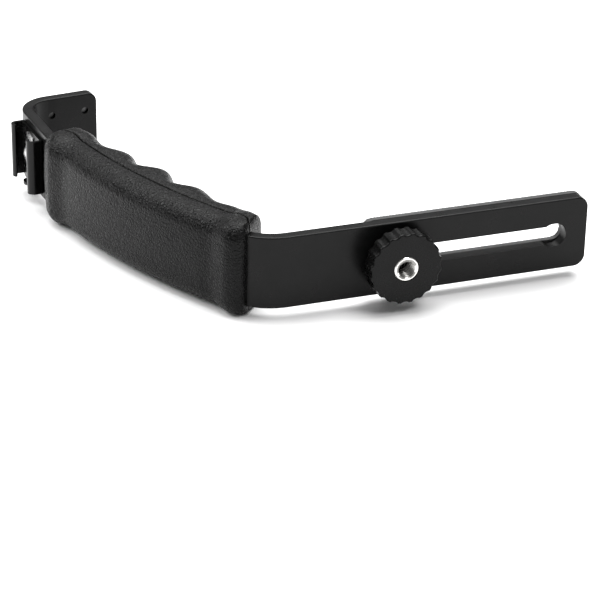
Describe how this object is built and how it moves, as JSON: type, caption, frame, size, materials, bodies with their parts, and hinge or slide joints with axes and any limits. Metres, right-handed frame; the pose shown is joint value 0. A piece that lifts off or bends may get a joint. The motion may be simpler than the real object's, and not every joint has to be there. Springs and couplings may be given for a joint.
{
  "type": "camera and light bracket",
  "caption": "C-shaped flat-bar bracket with a moulded hand grip, a padded slotted arm with a sliding clamp knob for a camera, and an accessory shoe on the side and on the top arm.",
  "frame": {"origin": "on the camera stud's axis, where its free thread begins, 0.3 mm above the camera pad, with the knob where the picture has it", "axes": "+X along the slotted arm to its free end, +Y along the stud towards the camera and into the C, +Z across the bar's width, up as the bracket lies on its long edge"},
  "size_m": [0.1665, 0.1551, 0.033],
  "materials": {
    "black_painted_metal": "satin black powder paint",
    "black_sheet_metal": "semi-gloss black paint on folded sheet",
    "black_rubber": "matt ribbed rubber",
    "black_grip_plastic": "leather-grained moulding",
    "black_knob_plastic": "satin moulding",
    "nickel_plated": "bright nickel plate",
    "bright_steel": "plain steel",
    "spring_steel": "bright spring steel",
    "dark_screws": "black oxide"
  },
  "bodies": {
    "bracket": {"main_strap": "black_painted_metal", "camera_pad": "black_rubber", "grip_outer_shell": "black_grip_plastic", "grip_inner_shell": "black_grip_plastic", "side_shoe": "black_sheet_metal", "side_shoe_spring": "spring_steel", "top_shoe": "black_sheet_metal", "top_shoe_spring": "spring_steel", "grip_screw_1": "dark_screws", "grip_screw_2": "dark_screws", "grip_screw_3": "dark_screws", "side_shoe_screw_1": "dark_screws", "side_shoe_screw_2": "dark_screws", "side_shoe_screw_3": "dark_screws", "side_shoe_screw_4": "dark_screws", "top_shoe_screw_1": "dark_screws", "top_shoe_screw_2": "dark_screws", "top_shoe_screw_3": "dark_screws", "top_shoe_screw_4": "dark_screws"},
    "slider": {"thrust_washer": "bright_steel"},
    "knob": {"clamp_knob": "black_knob_plastic", "camera_screw": "nickel_plated"}
  },
  "joints": [
    {"name": "knob_slide", "type": "slide", "parent": "bracket", "child": "slider", "axis": [1, 0, 0], "range_m": [-0.00185, 0.05765]},
    {"name": "knob_turn", "type": "hinge", "parent": "slider", "child": "knob", "pos_m": [0, 0, 0], "axis": [0, 1, 0], "continuous": true}
  ]
}
